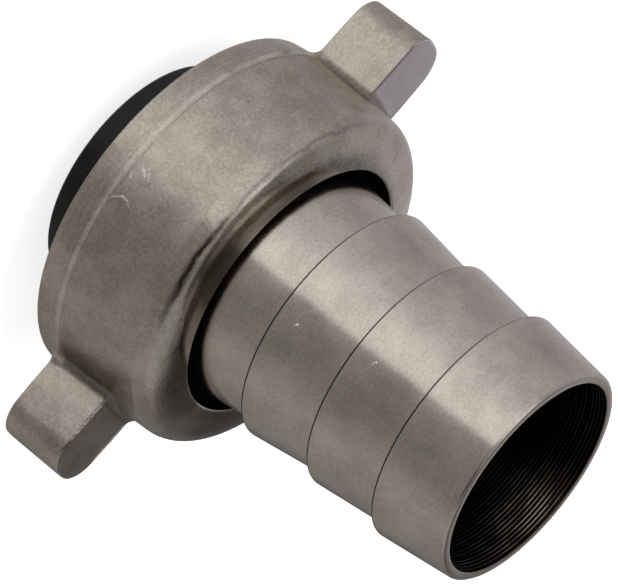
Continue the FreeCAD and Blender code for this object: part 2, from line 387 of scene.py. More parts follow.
@dataclass(frozen=True)
class LugEdges:
    """The section of the lugs, for the painted shade at their roots and the painted highlights and
    shade lines along their edges.
    """

    middle: float
    half_width: float
    half_height: float
    body_radius: float
    band_edge: float
    # Painted shade on the body beside the lugs' roots: how far it reaches, how ragged and how dark
    # it is, and how much further it spreads beside the -X lug.
    root_reach: float = 2.0 * MM
    root_unevenness: float = 1.6 * MM
    root_shade: float = 0.60
    left_stretch: float = 3.4
    left_rise: float = 1.2
    # Painted highlight along the -X lug's edges, in the colour of worn metal: where it fades out
    # towards the tip, how wide and how strong it is.
    highlight_limits: tuple[float, float] = (-31.8 * MM, -30.6 * MM)
    highlight_reach: tuple[float, float] = (0.10 * MM, 0.36 * MM)
    edge_highlight: float = 0.65
    # Painted shade line along the other edges of the lugs: how wide and how dark it is.
    line_limits: tuple[float, float] = (0.05 * MM, 0.19 * MM)
    line_shade: float = 0.70
    # Painted light on the lugs' upper faces, more on the lug along +X.
    pale_share: float = 0.2
    right_pale_share: float = 0.7

    def above(self, surface: Surface) -> Wire:
        """Height over the lugs' upper faces."""
        return surface.z - self.middle - self.half_height

    def masks(self, surface: Surface) -> tuple[Wire, Wire, Wire, Wire]:
        """Find the roots and the edges of the lugs, and the round body.

        Args:
            surface: the place on the nut.

        Returns:
            The painted shade on the body beside a lug, the painted highlight on the -X lug's edges,
            the painted shade line on the other edges, and a value that is 1 on the body and 0 on
            the lugs.
        """
        graph = surface.graph
        side = graph.math("ABSOLUTE", surface.y) - self.half_width
        up = graph.math("ABSOLUTE", surface.z - self.middle) - self.half_height
        body = graph.fade(surface.radius, self.body_radius, self.body_radius + 0.8 * MM)
        left = graph.fade(surface.x, -1 * MM, 1 * MM)
        # Painted shade on the body beside the lugs' roots.
        ragged = self.root_unevenness * (surface.noise(300.0, 3.0) - 0.5)
        beside = side.at_least(0.0) / (1.0 + self.left_stretch * left)
        over = self.above(surface).at_least(0.0) / (1.0 + self.left_rise * left)
        clear = graph.span(surface.z, self.band_edge, self.band_edge + 0.5 * MM)
        root = graph.fade(beside.at_least(over) + ragged, 0.1 * MM, self.root_reach) * clear * body
        away = graph.math("ABSOLUTE", side).at_least(graph.math("ABSOLUTE", up))
        # The -X lug's edges get a painted highlight, the other edges a painted shade line.
        polished = left * graph.span(surface.x, *self.highlight_limits)
        edge = graph.fade(away, *self.highlight_reach) * (1.0 - body) * polished
        line = graph.fade(away, *self.line_limits) * (1.0 - body) * (1.0 - polished)
        return self.root_shade * root, self.edge_highlight * edge, self.line_shade * line, body

    def painted_light_faces(self, surface: Surface, body: Wire) -> Wire:
        """Find the lugs' upper faces, which get painted light, above all that of the lug along +X.

        Args:
            surface: the place on the nut.
            body: a value that is 1 on the round body.

        Returns:
            How strong the painted light is there.
        """
        right = surface.graph.span(surface.x, self.body_radius, self.body_radius + 0.6 * MM)
        upper = surface.graph.span(self.above(surface), -0.09 * MM, -0.02 * MM)
        return (self.pale_share + self.right_pale_share * right) * (1.0 - body) * upper


@dataclass(frozen=True)
class TurnedMetal:
    """Satin plate over a turned surface: faint rings round the axis, fine grain, handling marks,
    and painted shade lines along the turned edges.
    """

    name: str = "turned_metal"
    light: Colour = (0.655, 0.597, 0.524)
    dark: Colour = (0.470, 0.425, 0.372)
    nicked: Colour = (0.86, 0.82, 0.76)
    roughness: float = 0.17
    ring_width: float = 0.22 * MM
    ring_share: float = 0.12
    cloud_share: float = 0.45
    grain: float = 0.30 * MM
    relief: float = 0.0035 * MM
    # Painted shade: dark lines at these edges, fainter towards +X.
    edges: tuple[float, ...] = ()
    edge_width: float = 0.26 * MM
    edge_shade_colour: Colour = (0.045, 0.039, 0.035)
    edge_shade_fading: float = 0.65
    scratches: tuple[Scratch, ...] = ()

    def material(self) -> bpy.types.Material:
        """Build the material.

        Returns:
            The material.
        """
        surface = Surface(self.name)
        graph = surface.graph
        rings = surface.rings(self.ring_width)
        grain = surface.noise(1 / self.grain, 3.0, 0.65)
        clouds = surface.noise(190.0, 5.0, 0.6)
        grain_share = 1 - self.cloud_share - self.ring_share
        tone = self.ring_share * rings + grain_share * grain + self.cloud_share * clouds
        colour = graph.blend(graph.span(tone, 0.36, 0.62), self.dark, self.light)
        nicks = marks(surface, self.scratches)
        colour = graph.blend(nicks, colour, self.nicked)
        # Painted shade lines along the barbs' steps.
        colour = graph.blend(self.painted_edge_shade(surface), colour, self.edge_shade_colour)
        roughness = uneven(self.roughness, (clouds, 0.14), (grain, 0.08))
        height = self.ring_share * rings + (1 - self.ring_share) * grain - 2.0 * nicks
        normal = surface.relief(height, self.relief)
        return surface.finish(colour, roughness, normal, Metallic=1.0 - 0.7 * nicks)

    def painted_edge_shade(self, surface: Surface) -> Value:
        """Find the painted shade lines along the turned edges, fainter towards +X.

        Args:
            surface: the place on the tail.

        Returns:
            A value that is 1 in the lines and 0 elsewhere.
        """
        graph, width = surface.graph, self.edge_width
        total: Value = 0.0
        for edge in self.edges:
            total = total + graph.stripe(surface.z, edge + 0.45 * width, 0.3 * width, 0.6 * width)
        return total * (1.0 - self.edge_shade_fading * graph.window((surface.x, 0, 14)))


@dataclass(frozen=True)
class BoredMetal:
    """Bare metal in a bore, with painted shade: dark with depth and away from the side that light
    reaches.
    """

    name: str
    mouth: float
    lit: Colour
    unlit: Colour
    roughness: float = 0.28
    depth: float = 10.5 * MM
    right_shade: float = 0.93
    left_shade: float = 0.8
    grain: float = 0.30 * MM
    relief: float = 0.004 * MM

    def material(self) -> bpy.types.Material:
        """Build the material.

        Returns:
            The material.
        """
        surface = Surface(self.name)
        graph = surface.graph
        near = graph.span(surface.z, self.mouth - self.depth, self.mouth - 0.5 * MM)
        right = 1.0 - self.right_shade * graph.window((surface.x, 0, 8))
        left = 1.0 - self.left_shade * graph.window((surface.x, -3, -11))
        flattened = graph.vector("MULTIPLY", surface.point, (1.0, 1.0, 3.0))
        patches = graph.span(graph.noise(flattened, 330.0, 3.0), 0.38, 0.60)
        # Painted light near the mouth around X = 0, painted shade deeper in and towards either
        # side.
        colour = graph.blend(near * right * left * (0.35 + 0.65 * patches), self.unlit, self.lit)
        grain = surface.noise(1 / self.grain, 3.0, 0.65)
        roughness = uneven(self.roughness, (grain, 0.12))
        return surface.finish(colour, roughness, surface.relief(grain, self.relief), Metallic=1.0)


@dataclass(frozen=True)
class CastMetal:
    """Satin plate over a cast skin: grain, slow waves, a polished shoulder, a turned band, worn
    marks, painted shade and painted highlights.
    """

    name: str = "cast_metal"
    light: Colour = (0.580, 0.526, 0.452)
    dark: Colour = (0.390, 0.350, 0.298)
    # Colour of worn metal in the scratches, also used for the painted highlights on the band's edge
    # and the -X lug's edges.
    worn: Colour = (0.900, 0.860, 0.780)
    # Painted light on the lugs' upper faces.
    pale: Colour = (0.900, 0.840, 0.835)
    # Painted shade beside the hole, and the painted dark reflection line on the shoulder.
    hole_shade_colour: Colour = (0.060, 0.050, 0.044)
    # Painted shade on the body beside the lugs' roots.
    shaded: Colour = (0.075, 0.064, 0.058)
    # Painted shade lines beside the band's edge and along the lugs' edges.
    line_shade_colour: Colour = (0.120, 0.104, 0.092)
    roughness: float = 0.33
    polish: float = 0.17
    grain: float = 0.34 * MM
    grain_depth: float = 0.008 * MM
    wave: float = 2.6 * MM
    wave_depth: float = 0.04 * MM
    ring_width: float = 0.25 * MM
    scratch_wear: float = 0.46
    # Strengths of the band's light line, partly worn metal and partly painted highlight, and of its
    # painted shade line.
    band_wear_and_highlight: float = 0.2
    groove_shade: float = 0.45
    # Strengths of the painted shade beside the hole and of the painted dark line on the shoulder.
    front_shade: float = 0.55
    line_shade: float = 0.85
    end_shade: float = 0.70
    shoulder: float = 1.0
    hole: float = 0.0
    band_edge: float = -1.0
    lugs: LugEdges | None = None
    scratches: tuple[Scratch, ...] = ()

    def material(self) -> bpy.types.Material:
        """Build the material.

        Returns:
            The material.
        """
        surface = Surface(self.name)
        graph = surface.graph
        grain = surface.noise(1 / self.grain, 3.0, 0.6)
        wave = surface.noise(1 / self.wave)
        patches = surface.noise(330.0, 4.0, 0.6)
        clouds = surface.noise(110.0)
        ragged = uneven(surface.z, (patches, 2.4 * MM), (grain, 1.6 * MM))
        polished = graph.span(ragged, self.shoulder - 0.2 * MM, self.shoulder + 0.2 * MM)
        turned_band = graph.fade(surface.z, self.band_edge - 0.1 * MM, self.band_edge)
        rings = 0.2 * turned_band * (surface.rings(self.ring_width) - 0.5)
        tone = 0.45 * grain + 0.35 * patches + 0.20 * clouds + rings
        colour = graph.blend(graph.span(tone, 0.38, 0.62), self.dark, self.light)
        # Painted shade beside the hole, and a painted dark reflection line where the shoulder
        # turns.
        colour = graph.blend(self.hole_painted_shade(surface, patches), colour, self.hole_shade_colour)
        # The band's edge: a light line, partly worn metal and partly painted highlight, and a
        # painted shade line.
        worn, shade_line = self.band_marks(surface, patches)
        worn = worn + self.scratch_wear * marks(surface, self.scratches)
        if self.lugs:
            root, edge, line, body = self.lugs.masks(surface)
            # Painted shade on the body beside the lugs' roots.
            colour = graph.blend(root, colour, self.shaded)
            # A painted highlight on the -X lug's edges, and a painted shade line on the others.
            worn = worn * body + edge * graph.span(grain, 0.35, 0.55)
            shade_line = shade_line * body + line
            # Painted light on the lugs' upper faces, above all on the lug along +X.
            colour = graph.blend(self.lugs.painted_light_faces(surface, body), colour, self.pale)
        worn = worn.at_most(1.0)
        # Painted shade lines beside the band's edge and along the lugs' edges.
        colour = graph.blend(shade_line, colour, self.line_shade_colour)
        # Worn metal in the scratches, and painted highlights on the band's edge and the -X lug's
        # edges.
        colour = graph.blend(worn, colour, self.worn)
        roughness = uneven(self.roughness, (grain, 0.12), (patches, 0.10))
        roughness = roughness - (self.roughness - self.polish) * polished
        height = (1.0 - 0.75 * polished) * grain - 2.0 * worn
        normal = surface.relief(height, self.grain_depth, surface.relief(wave, self.wave_depth))
        return surface.finish(colour, roughness, normal, Metallic=1.0 - 0.6 * worn)

    def hole_painted_shade(self, surface: Surface, patches: Wire) -> Wire:
        """Find the painted shade on the plate beside the hole, and the ragged painted dark
        reflection line where the shoulder turns.

        Args:
            surface: the place on the nut.
            patches: a cloudy value that makes both uneven.

        Returns:
            How dark the painted shade is, 0 elsewhere.
        """
        graph, x, y = surface.graph, surface.x, surface.y
        away, up = surface.radius - self.hole, surface.z - self.shoulder
        front = graph.window((uneven(away, (patches, 1.2 * MM)), 3.2, 2.2), (up, 1.5, 2.3),
                             (y, 9, 14), (x, 13, 8), (x, -15, -10))
        front = front * (0.5 + 0.5 * graph.window((x, -6, -2)))
        end = graph.window((x, -11, -15), (y, -19, -15), (y, -1, -9), (away, 5.2, 3.6))
        line = graph.stripe(uneven(up, (patches, 1.5 * MM)), 1.85 * MM, 0.06 * MM, 0.30 * MM)
        line = line * graph.window((y, 8, 17), (x, -13, -10)) * graph.span(patches, 0.30, 0.50)
        line = line * (1.0 - 0.6 * graph.window((x, -5, 2)))
        total = self.front_shade * front + self.line_shade * line + self.end_shade * end
        return total.at_most(1.0)

    def band_marks(self, surface: Surface, patches: Wire) -> tuple[Wire, Wire]:
        """Find the light line along the band's edge, partly worn metal and partly painted
        highlight, and the thin painted shade line beside it.

        Args:
            surface: the place on the nut.
            patches: a cloudy value that makes both uneven.

        Returns:
            A value for the light line and one for the painted shade line, both 0 elsewhere.
        """
        graph = surface.graph
        worn = graph.stripe(surface.z, self.band_edge - 0.45 * MM, 0.10 * MM, 0.42 * MM)
        shade_line = graph.stripe(surface.z, self.band_edge + 0.02 * MM, 0.03 * MM, 0.14 * MM)
        worn = worn * graph.span(patches, 0.25, 0.55)
        shade_line = shade_line * graph.span(patches, 0.40, 0.56) * graph.window((surface.x, -9, -1))
        return self.band_wear_and_highlight * worn, self.groove_shade * shade_line


@dataclass(frozen=True)
class MouldedRubber:
    """Matte black rubber with a fine moulded grain."""

    name: str = "seal_rubber"
    light: Colour = (0.0095, 0.0105, 0.0090)
    dark: Colour = (0.0040, 0.0044, 0.0040)
    roughness: float = 0.50
    gloss: float = 0.28
    grain: float = 0.35 * MM
    grain_depth: float = 0.012 * MM

    def material(self) -> bpy.types.Material:
        """Build the material.

        Returns:
            The material.
        """
        surface = Surface(self.name)
        grain = surface.noise(1 / self.grain)
        patches = surface.noise(300.0, 3.0)
        share = surface.graph.span(patches, 0.35, 0.65)
        colour = surface.graph.blend(share, self.dark, self.light)
        roughness = uneven(self.roughness, (patches, 0.15))
        return surface.finish(colour, roughness, surface.relief(grain, self.grain_depth),
                              Specular_IOR_Level=self.gloss)


def new_material(name: str) -> tuple[bpy.types.Material, Graph]:
    """Make an empty material.

    Args:
        name: the material's name.

    Returns:
        The material and the graph of its nodes.
    """
    made = bpy.data.materials.new(name)
    made.use_nodes = True
    return made, Graph(made.node_tree)


def uneven(value: Value, *patterns: tuple[Wire, float]) -> Value:
    """Vary a value.

    Args:
        value: the value.
        patterns: cloudy values between 0 and 1, each with how far it moves the value.

    Returns:
        The varied value.
    """
    for pattern, reach in patterns:
        value = value + reach * (pattern - 0.5)
    return value


def marks(surface: Surface, scratches: Sequence[Scratch]) -> Value:
    """Find the scratches, whose sides are ragged.

    Args:
        surface: the place on the piece.
        scratches: the scratches.

    Returns:
        A value that is 1 in the scratches and 0 elsewhere.
    """
    graph, point = surface.graph, surface.point
    total: Value = 0.0
    if scratches:
        noise = graph.node("ShaderNodeTexNoise", None,
                           {"Vector": point, "Scale": 3600.0, "Detail": 1.0}, "Color")
        pull = graph.vector("SUBTRACT", noise, (0.5, 0.5, 0.5))
        point = graph.vector("ADD", point, graph.vector("MULTIPLY", pull, (0.7 * MM,) * 3))
    for scratch in scratches:
        total = total + scratch.mask(graph, point)
    return total


# Meshes


@dataclass(frozen=True)
class Corner:
    """A corner of an outline, in metres across and up, with the radius that it is rounded to."""

    across: float
    up: float
    round: float = 0.0


def rounded_outline(corners: Sequence[Corner]) -> np.ndarray:
    """Round the corners of a closed outline, the large ones in finer steps.

    Args:
        corners: the corners in order.

    Returns:
        The outline's points, one row each.
    """
    points: list[np.ndarray] = []
    for number, corner in enumerate(corners):
        before, after = corners[number - 1], corners[(number + 1) % len(corners)]
        here = np.array([corner.across, corner.up])
        back = np.array([before.across, before.up]) - here
        ahead = np.array([after.across, after.up]) - here
        if corner.round == 0.0:
            points.append(here)
            continue
        back, ahead = back / np.linalg.norm(back), ahead / np.linalg.norm(ahead)
        half = math.acos(float(np.clip(back @ ahead, -1, 1))) / 2
        reach = corner.round / math.tan(half)
        middle = (back + ahead) / np.linalg.norm(back + ahead)
        centre = here + middle * corner.round / math.sin(half)
        start, end = here + back * reach - centre, here + ahead * reach - centre
        steps = SMALL_ROUND_STEPS if corner.round < SMALL_ROUND else LARGE_ROUND_STEPS
        for step in range(steps + 1):
            leaning = start * (1 - step / steps) + end * (step / steps)
            points.append(centre + leaning / np.linalg.norm(leaning) * corner.round)
    return np.array(points)


def arc(centre: tuple[float, float], radius: float, first: float, last: float,
        steps: int) -> list[Corner]:
    """Points along an arc, with both its ends.

    Args:
        centre: its centre, across and up.
        radius: its radius.
        first: direction from the centre to its start, in radians.
        last: direction from the centre to its end.
        steps: straight steps along it.

    Returns:
        Its points as corners without rounding.
    """
    across, up = centre
    angles = [first + (last - first) * step / steps for step in range(steps + 1)]
    return [Corner(across + radius * math.cos(a), up + radius * math.sin(a)) for a in angles]


def placed(name: str, data: bpy.types.ID) -> bpy.types.Object:
    """Put a new object into the scene.

    Args:
        name: the name of the object.
        data: its mesh, light or camera.

    Returns:
        The object.
    """
    made = bpy.data.objects.new(name, data)
    bpy.context.scene.collection.objects.link(made)
    return made


def turned(name: str, outline: np.ndarray, segments: int = 256) -> bpy.types.Object:
    """Turn a closed outline round the axis.

    Args:
        name: the name of the object.
        outline: points across and up, none on the axis.
        segments: steps round the axis.

    Returns:
        The object, with its faces outwards.
    """
    turns = np.arange(segments) * (2 * math.pi / segments)
    ring = np.stack([np.cos(turns), np.sin(turns)], axis=1)
    across = outline[None, :, 0, None] * ring[:, None, :]
    up = np.broadcast_to(outline[None, :, 1, None], (segments, len(outline), 1))
    points = np.concatenate([across, up], axis=2).reshape(-1, 3)
    return shell(name, points, ring_faces(segments, len(outline), closed=True))


def ring_faces(rows: int, columns: int, closed: bool) -> list[tuple[int, ...]]:
    """Faces between rows of points that each close on themselves.

    Args:
        rows: the number of rows.
        columns: points in a row.
        closed: whether the last row joins the first.

    Returns:
        Four point numbers for each face.
    """
    faces = []
    for row in range(rows if closed else rows - 1):
        following = (row + 1) % rows
        for column in range(columns):
            beside = (column + 1) % columns
            faces.append((row * columns + column, row * columns + beside,
                          following * columns + beside, following * columns + column))
    return faces


def shell(name: str, points: np.ndarray, faces: Sequence[tuple[int, ...]]) -> bpy.types.Object:
    """Make an object from points and faces, with its faces outwards and its edges smooth.

    Args:
        name: the name of the object.
        points: the points, one row each.
        faces: point numbers for each face.

    Returns:
        The object.
    """
    mesh = bpy.data.meshes.new(name)
    mesh.from_pydata(points.tolist(), [], faces)
    work = bmesh.new()
    work.from_mesh(mesh)
    bmesh.ops.recalc_face_normals(work, faces=work.faces)
    work.to_mesh(mesh)
    work.free()
    smooth(mesh)
    return placed(name, mesh)


def smooth(mesh: bpy.types.Mesh) -> None:
    """Shade the mesh smoothly but for its sharp edges."""
    mesh.shade_smooth()
    mesh.set_sharp_from_angle(angle=SHARP_ANGLE)


def join(name: str, pieces: Sequence[bpy.types.Object]) -> bpy.types.Object:
    """Join several objects into one.

    Args:
        name: the name of the joined object.
        pieces: the objects, all with the same materials or none.

    Returns:
        The joined object.
    """
    work = bmesh.new()
    for piece in pieces:
        work.from_mesh(piece.data)
        bpy.data.objects.remove(piece)
    mesh = bpy.data.meshes.new(name)
    work.to_mesh(mesh)
    work.free()
    smooth(mesh)
    return placed(name, mesh)


def hand_over(piece: bpy.types.Object, body: Body, slot: Slot,
              replaces: Sequence[str] = ()) -> None:
    """Hand a finished piece to the frame.

    Args:
        piece: the piece.
        body: the body that it rides on.
        slot: the record's slot for its finish; not used.
        replaces: the frame's nodes that it stands for.
    """
    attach(piece, body.value)
    if replaces:
        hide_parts(*replaces)
    log.info("%s: %d faces, rides on %s", piece.name, len(piece.data.polygons), body.value)


# Geometry Nodes


class PatternTree:
    """A Geometry Nodes tree with named inputs, whose result becomes a plain mesh."""

    def __init__(self, name: str, inputs: dict[str, float | int]) -> None:
        """Make the tree's inputs and outputs.

        Args:
            name: the tree's name.
            inputs: each input's name and value. A whole number makes an integer input.
        """
        self.name = name
        self.values = inputs
        self.tree = bpy.data.node_groups.new(name, "GeometryNodeTree")
        self.graph = Graph(self.tree)
        self.sockets: dict[str, Any] = {}
        for label, value in inputs.items():
            kind = "NodeSocketInt" if isinstance(value, int) else "NodeSocketFloat"
            self.sockets[label] = self.tree.interface.new_socket(
                label, in_out="INPUT", socket_type=kind)
        self.tree.interface.new_socket(
            "Geometry", in_out="OUTPUT", socket_type="NodeSocketGeometry")
        self.entry = self.tree.nodes.new("NodeGroupInput")

    def value(self, label: str) -> Wire:
        """The wire that carries a named input."""
        return Wire(self.graph, self.entry.outputs[label])

    def inward_ridge(self) -> Wire:
        """Draw the section of a ridge that stands inwards from a wall round the axis.

        Returns:
            The section, with its foot sunk in the wall.
        """
        depth, sunk = self.value("Ridge Depth"), self.value("Foot Depth")
        shape = "GeometryNodeCurvePrimitiveQuadrilateral"
        section = self.graph.node(shape, {"mode": "TRAPEZOID"}, {
            "Height": depth + sunk, "Bottom Width": self.value("Foot Width"),
            "Top Width": self.value("Crest Width"), "Offset": 0.0})
        shift = self.graph.place(X=(sunk - depth) / 2.0)
        return self.graph.node("GeometryNodeTransform", None, {
            "Geometry": section, "Translation": shift, "Rotation": (0.0, 0.0, math.pi / 2)})

    def finished(self, geometry: Wire, material: bpy.types.Material) -> bpy.types.Object:
        """Close the tree, run it and turn its result into a plain mesh.

        Args:
            geometry: the geometry that it ends in.
            material: the material of everything in it.

        Returns:
            The new object, with no modifier on it.
        """
        real = self.graph.node("GeometryNodeRealizeInstances", None, {"Geometry": geometry})
        dressed = self.graph.node("GeometryNodeSetMaterial", None,
                                  {"Geometry": real, "Material": material})
        self.graph.node("NodeGroupOutput", None, {"Geometry": dressed})
        holder = placed(self.name, bpy.data.meshes.new(self.name + "_start"))
        modifier = holder.modifiers.new(self.name, "NODES")
        modifier.node_group = self.tree
        for label, socket in self.sockets.items():
            modifier[socket.identifier] = self.values[label]
        evaluated = holder.evaluated_get(bpy.context.evaluated_depsgraph_get())
        mesh = bpy.data.meshes.new_from_object(evaluated)
        holder.modifiers.remove(modifier)
        holder.data = mesh
        mesh.name = self.name
        return holder


# The hose tail


@dataclass
class HoseTail:
    """The turned hose tail: nose, flange, neck, barbs, mouth and a straight bore."""

    nose_height: float
    mouth_height: float
    flange_radius: float
    flange_height: float
    bore_radius: float = 13.7 * MM
    wall: float = 1.3 * MM
    nose_wall: float = 1.5 * MM
    flange_thickness: float = 3.0 * MM
    neck_length: float = 11.6 * MM
    first_barb_rise: float = 1.55 * MM
    barb_rise: float = 1.25 * MM
    barb_pitch: float = 10.65 * MM
    barb_count: int = 3
    crest_round: float = 0.12 * MM
    foot_round: float = 0.20 * MM
    mouth_bevel: float = 0.28 * MM
    mouth_flare: float = 0.0056 * MM
    edge_round: float = 0.10 * MM
    flange_round: float = 0.35 * MM
    neck_taper: float = 1.6 * MM
    neck_fillet: float = 0.4 * MM
    shaded_rise: float = 1.6 * MM
    ring_pitch: float = 0.52 * MM
    ring_depth: float = 0.042 * MM
    ring_foot: float = 0.30 * MM

    @classmethod
    def from_frame(cls, seal_top: float) -> HoseTail:
        """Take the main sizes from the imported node.

        Args:
            seal_top: height of the seal's upper end, which the flange rests on.

        Returns:
            The hose tail.
        """
        low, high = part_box("hose_tail")
        return cls(nose_height=low.z, mouth_height=high.z, flange_radius=high.x,
                   flange_height=seal_top)

    @property
    def neck_radius(self) -> float:
        """Outside of the neck, the mouth and the foot of every barb."""
        return self.bore_radius + self.wall

    @property
    def flange_top(self) -> float:
        """Height of the flange's upper face, where the neck begins."""
        return self.flange_height + self.flange_thickness

    def barb_heights(self) -> list[float]:
        """The height of every barb's step."""
        first = self.flange_top + self.neck_length
        return [first + number * self.barb_pitch for number in range(self.barb_count)]

    def outline(self) -> np.ndarray:
        """Draw the closed outline that is turned.

        Returns:
            Its points, one row each.
        """
        nose_radius = self.bore_radius + self.nose_wall
        corners = [
            Corner(self.bore_radius, self.nose_height),
            Corner(nose_radius, self.nose_height),
            Corner(nose_radius, self.flange_height),
            Corner(self.flange_radius, self.flange_height, self.flange_round),
            Corner(self.flange_radius, self.flange_top, self.flange_round),
            Corner(self.neck_radius + self.neck_taper, self.flange_top, self.neck_fillet),
        ]
        for number, height in enumerate(self.barb_heights()):
            rise = self.first_barb_rise if number == 0 else self.barb_rise
            corners += [Corner(self.neck_radius, height, self.foot_round),
                        Corner(self.neck_radius + rise, height, self.crest_round)]
        bevel_foot = self.mouth_height - self.mouth_bevel
        corners += [
            Corner(self.neck_radius + self.mouth_flare, bevel_foot, self.edge_round),
            Corner(self.neck_radius - self.mouth_bevel, self.mouth_height, self.edge_round),
            Corner(self.bore_radius, self.mouth_height, self.edge_round),
        ]
        return rounded_outline(corners)

    def build(self) -> None:
        """Build the tail and the rings in its bore, and dress them."""
        tail = turned("tail_skin", self.outline())
        # Start, end and width of each nick, in millimetres.
        nicks = (((-4.5, 15.48, 37.0), (-4.4, 15.51, 37.3), 0.11),
                 ((-2.5, 15.68, 47.9), (-2.2, 15.73, 48.1), 0.12))
        # The barbs' steps get painted shade lines.
        finish = TurnedMetal(edges=tuple(self.barb_heights()), scratches=tuple(
            Scratch(tuple(at * MM for at in start), tuple(at * MM for at in end), width * MM)
            for start, end, width in nicks))
        # The bore and its rings: painted light near the mouth, painted shade deeper in.
        bore_finish = BoredMetal("bore_metal", self.mouth_height, lit=(0.075, 0.056, 0.046),
                                 unlit=(0.013, 0.008, 0.006), roughness=0.34)
        ring_finish = BoredMetal("ring_metal", self.mouth_height, lit=(0.420, 0.372, 0.335),
                                 unlit=(0.016, 0.011, 0.009), roughness=0.24, depth=8.0 * MM)
        # Painted shade: near-black metal on the nose, the flange and the neck's foot, under the
        # nut.
        shaded_finish = TurnedMetal(name="shaded_metal", light=(0.030, 0.025, 0.022),
                                    dark=(0.012, 0.010, 0.009), roughness=0.45)
        for worn in (finish, bore_finish, shaded_finish):
            tail.data.materials.append(worn.material())
        for face in tail.data.polygons:
            if math.hypot(face.center.x, face.center.y) < self.bore_radius + self.edge_round / 2:
                face.material_index = Skin.INSIDE.value
            elif face.center.z < self.flange_top + self.shaded_rise:
                face.material_index = Skin.SHADED.value
        hand_over(tail, Body.TAIL, Slot.TURNED, ["hose_tail"])
        hand_over(self.bore_rings(ring_finish.material()), Body.TAIL, Slot.TURNED)

    def bore_rings(self, material: bpy.types.Material) -> bpy.types.Object:
        """The ridges that the boring tool left between its grooves.

        Args:
            material: the bore's material.

        Returns:
            One mesh with all the rings.
        """
        count = int((self.mouth_height - self.nose_height - 2 * self.ring_pitch) / self.ring_pitch)
        pattern = PatternTree("bore_rings", {
            "Bore Radius": self.bore_radius, "Ring Pitch": self.ring_pitch, "Ring Count": count,
            "First Height": self.mouth_height - 1.2 * self.ring_pitch,
            "Ridge Depth": self.ring_depth, "Foot Depth": self.ring_depth,
            "Foot Width": self.ring_foot, "Crest Width": 0.1 * self.ring_foot,
            "Unevenness": 0.0015, "Seed": 7,
        })
        graph, value = pattern.graph, pattern.value
        circle = graph.node("GeometryNodeCurvePrimitiveCircle", {"mode": "RADIUS"},
                            {"Resolution": 128, "Radius": value("Bore Radius")})
        level = graph.node("GeometryNodeSetCurveNormal", {"mode": "Z_UP"}, {"Curve": circle})
        ring = graph.node("GeometryNodeCurveToMesh", None,
                          {"Curve": level, "Profile Curve": pattern.inward_ridge()})
        line = graph.node("GeometryNodeMeshLine", None, {
            "Count": value("Ring Count"), "Start Location": graph.place(Z=value("First Height")),
            "Offset": graph.place(Z=0.0 - value("Ring Pitch"))})
        limits = {"Min_001": 1.0, "Max_001": 1.0 + value("Unevenness"), "Seed": value("Seed")}
        size = graph.node("FunctionNodeRandomValue", {"data_type": "FLOAT"}, limits, "Value_001")
        rings = graph.node("GeometryNodeInstanceOnPoints", None, {
            "Points": line, "Instance": ring, "Scale": graph.place(X=size, Y=size, Z=1.0)})
        return pattern.finished(rings, material)


# The union nut


